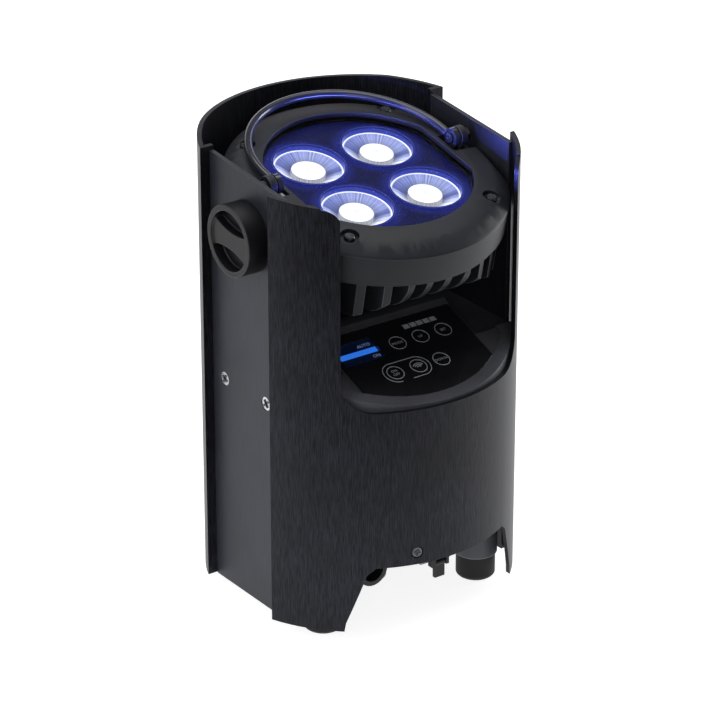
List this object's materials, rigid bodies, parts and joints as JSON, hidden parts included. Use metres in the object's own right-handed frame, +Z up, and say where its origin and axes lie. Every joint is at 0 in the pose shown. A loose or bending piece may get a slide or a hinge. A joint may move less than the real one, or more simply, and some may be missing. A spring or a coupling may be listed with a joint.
{
  "type": "battery par can light",
  "caption": "Upright battery par can light: a tilting round lamp head with lenses sits in a brushed black cylindrical housing with a front window, keypad, carrying handle and feet.",
  "frame": {"origin": "on the floor, under the middle of the cylindrical housing", "axes": "+Z up, -Y towards the front window and keypad, X along the tilt axis"},
  "size_m": [0.172, 0.17, 0.2642],
  "materials": {
    "anodised_shell": "black anodised, brushed from top to bottom",
    "anodised_plate": "black anodised, finely brushed",
    "bright_screw": "zinc plated",
    "black_screw": "blackened steel",
    "case_plastic": "fine moulded grain",
    "overlay": "glossy printed film",
    "display_window": "clear",
    "display": "backlit liquid crystal",
    "key_ink": "printed ink",
    "circuit_board": "solder mask",
    "battery_wrap": "shrink wrap",
    "steel_strap": "folded sheet",
    "base_paint": "black powder coat",
    "foot_rubber": "moulded",
    "socket_flange": "light grey cast flange",
    "socket_black": "glass filled nylon",
    "socket_metal": "plated",
    "head_casting": "die casting with satin dark grey powder coat",
    "head_glass": "toughened, clear",
    "lens_plate": "satin black",
    "lens_clear": "clear moulded optic",
    "led": "phosphor under clear dome",
    "led_board": "white solder mask on metal core",
    "brass_washer": "thin pressed",
    "handle_gloss": "glossy black enamel over bent steel rod",
    "knob_plastic": "soft black moulding"
  },
  "bodies": {
    "housing": {"front_shell": "anodised_shell", "rear_shell": "anodised_shell", "side_plate_left": "anodised_plate", "side_plate_right": "anodised_plate", "plate_screws": "bright_screw", "shell_screws": "black_screw", "control_housing": "case_plastic", "panel_overlay": "overlay", "display_glass": "display_window", "display_module": "display", "key_marks": "key_ink", "control_board": "circuit_board", "battery_pack": "battery_wrap", "battery_straps": "steel_strap", "driver_board": "circuit_board", "radio_module": "steel_strap", "base_plate": "base_paint", "base_screws": "black_screw", "foot_columns": "case_plastic", "rubber_feet": "foot_rubber", "foot_screws": "bright_screw", "connector_bracket": "base_paint", "inlet_flange": "socket_flange", "inlet_body": "socket_black", "outlet_flange": "socket_flange", "outlet_body": "socket_black", "data_socket": "socket_metal", "switch_frame": "socket_black"},
    "head": {"heatsink": "head_casting", "cooling_fins": "head_casting", "head_bezel": "head_casting", "bezel_screws": "black_screw", "head_glass": "head_glass", "glass_seal": "foot_rubber", "lens_plate": "lens_plate", "lenses": "lens_clear", "lens_holders": "socket_black", "led_chips": "led", "led_board": "led_board", "back_cover": "case_plastic", "back_screws": "black_screw", "friction_washers": "brass_washer", "handle_brackets": "head_casting", "handle_bolts": "black_screw", "handle_washers": "bright_screw"},
    "handle": {"handle_rod": "handle_gloss"},
    "left_knob": {"knob_left": "knob_plastic", "stud_left": "bright_screw"},
    "right_knob": {"knob_right": "knob_plastic", "stud_right": "bright_screw"},
    "rocker": {"switch_rocker": "socket_black"},
    "latch": {"outlet_latch": "socket_black"}
  },
  "joints": [
    {"name": "head_tilt", "type": "hinge", "parent": "housing", "child": "head", "pos_m": [0, -0.004, 0.221], "axis": [1, 0, 0], "range_deg": [-12, 36]},
    {"name": "handle_swing", "type": "hinge", "parent": "head", "child": "handle", "pos_m": [0, -0.0059, 0.24677], "axis": [1, 0, 0], "range_deg": [0, 170]},
    {"name": "left_knob_turn", "type": "hinge", "parent": "head", "child": "left_knob", "pos_m": [-0.08, -0.004, 0.221], "axis": [-1, 0, 0], "range_deg": [-20, 360]},
    {"name": "right_knob_turn", "type": "hinge", "parent": "head", "child": "right_knob", "pos_m": [0.08, -0.004, 0.221], "axis": [1, 0, 0], "range_deg": [-20, 360]},
    {"name": "switch_rock", "type": "hinge", "parent": "housing", "child": "rocker", "pos_m": [0.0325, -0.0476, 0.038], "axis": [-1, 0, 0], "range_deg": [0, 10]},
    {"name": "latch_release", "type": "hinge", "parent": "housing", "child": "latch", "pos_m": [0.014, -0.0546, 0.0254], "axis": [-1, 0, 0], "range_deg": [0, 28], "stiffness_Nm_per_rad": 0.01}
  ]
}
